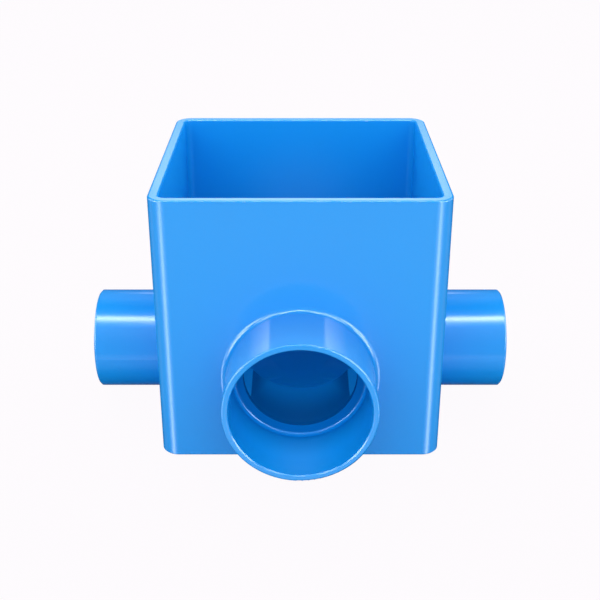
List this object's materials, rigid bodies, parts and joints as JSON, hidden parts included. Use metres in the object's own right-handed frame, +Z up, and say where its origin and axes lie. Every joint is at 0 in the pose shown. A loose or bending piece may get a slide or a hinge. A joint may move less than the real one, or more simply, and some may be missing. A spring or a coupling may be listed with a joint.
{
  "type": "floor drain box",
  "caption": "Square open-topped floor drain box in glossy blue plastic, with a low outlet socket in front and an inlet spigot on each side.",
  "frame": {"origin": "centre of the flat underside of the square box", "axes": "+X through the two inlet spigots, -Y out of the outlet socket, +Z up towards the open top"},
  "size_m": [0.2494, 0.1986, 0.155],
  "materials": {
    "blue_plastic": "glossy moulded PVC"
  },
  "bodies": {
    "root": {"drain_body": "blue_plastic"}
  },
  "joints": []
}
